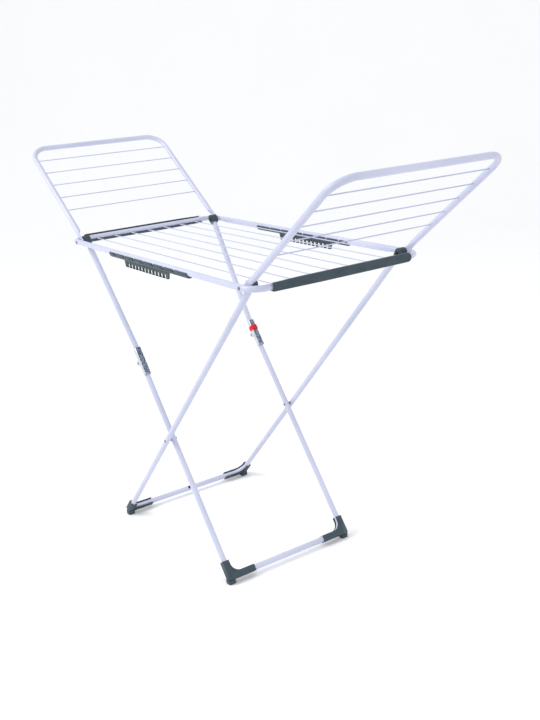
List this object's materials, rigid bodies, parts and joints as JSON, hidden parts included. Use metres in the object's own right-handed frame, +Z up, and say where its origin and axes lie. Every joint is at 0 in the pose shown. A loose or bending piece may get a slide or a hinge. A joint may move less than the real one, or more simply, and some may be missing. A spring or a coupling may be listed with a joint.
{
  "type": "clothes_drying_rack",
  "caption": "Folding winged clothes drying rack with painted steel tubes, thin drying wires, crossed legs with knee brackets and dark plastic feet",
  "frame": {"origin": "On the floor, under the middle of the drying frame.", "axes": "+X runs along the rack from the left wing to the right wing, +Y across it from the front long tube to the back one, +Z is up."},
  "size_m": [1.654, 0.529, 1.1909],
  "materials": {
    "tube": "glossy white enamel with a cool tint",
    "wire": "coated steel wire, satin",
    "plastic": "moulded dark slate plastic, satin",
    "steel": "zinc plated sheet and rivets",
    "lock_red": "bright red, satin gloss"
  },
  "bodies": {
    "frame": {"frame_long_front": "tube", "frame_long_back": "tube", "frame_end_left": "tube", "frame_end_right": "tube", "frame_wire_1": "wire", "frame_wire_2": "wire", "frame_wire_3": "wire", "frame_wire_4": "wire", "frame_wire_5": "wire", "frame_wire_6": "wire", "frame_wire_7": "wire", "frame_wire_8": "wire", "frame_wire_9": "wire", "comb_rail_front": "plastic", "comb_rail_back": "plastic", "end_cover_left": "plastic", "end_cover_right": "plastic", "pivot_pin_left_front": "steel", "pivot_pin_left_back": "steel", "pivot_pin_right_front": "steel", "pivot_pin_right_back": "steel"},
    "wing_left": {"wing_left_side_front": "tube", "wing_left_side_back": "tube", "wing_left_outer": "tube", "wing_left_wire_1": "wire", "wing_left_wire_2": "wire", "wing_left_wire_3": "wire", "wing_left_wire_4": "wire", "wing_left_wire_5": "wire"},
    "wing_right": {"wing_right_side_front": "tube", "wing_right_side_back": "tube", "wing_right_outer": "tube", "wing_right_wire_1": "wire", "wing_right_wire_2": "wire", "wing_right_wire_3": "wire", "wing_right_wire_4": "wire", "wing_right_wire_5": "wire"},
    "leg_b": {"leg_b_side_front": "tube", "leg_b_side_back": "tube", "leg_b_cross": "tube", "leg_b_cap_front": "plastic", "leg_b_cap_back": "plastic", "leg_b_foot_front": "plastic", "leg_b_foot_back": "plastic", "leg_b_joint_screw": "plastic"},
    "leg_a_upper": {"leg_a_upper_front": "tube", "leg_a_upper_back": "tube", "leg_a_cap_front": "plastic", "leg_a_cap_back": "plastic"},
    "leg_a_lower": {"leg_a_lower_side_front": "tube", "leg_a_lower_side_back": "tube", "leg_a_cross": "tube", "leg_a_foot_front": "plastic", "leg_a_foot_back": "plastic", "knee_bracket_front": "steel", "knee_bracket_back": "steel"},
    "lock_clip": {"lock_clip": "lock_red"}
  },
  "joints": [
    {"name": "wing_left_hinge", "type": "hinge", "parent": "frame", "child": "wing_left", "pos_m": [-0.4675, 0, 0.92], "axis": [0, 1, 0], "range_deg": [0, 128]},
    {"name": "wing_right_hinge", "type": "hinge", "parent": "frame", "child": "wing_right", "pos_m": [0.4675, 0, 0.92], "axis": [0, -1, 0], "range_deg": [0, 128]},
    {"name": "fold", "type": "hinge", "parent": "frame", "child": "leg_b", "pos_m": [0.4675, 0, 0.92], "axis": [0, 1, 0], "range_deg": [0, 41]},
    {"name": "leg_a_hinge", "type": "hinge", "parent": "frame", "child": "leg_a_upper", "pos_m": [-0.4675, 0, 0.92], "axis": [0, -1, 0], "range_deg": [0, 53.31]},
    {"name": "knee", "type": "hinge", "parent": "leg_a_upper", "child": "leg_a_lower", "pos_m": [-0.2332, 0, 0.57007], "axis": [0, 1, 0], "range_deg": [0, 171.44]},
    {"name": "lock_slide", "type": "slide", "parent": "leg_a_lower", "child": "lock_clip", "axis": [-0.6021, 0, 0.7984], "range_m": [0, 0.018]}
  ],
  "couplings": [
    {"joint": "leg_a_hinge", "follows": "fold", "ratio": 1.2998},
    {"joint": "knee", "follows": "fold", "ratio": 4.181}
  ]
}
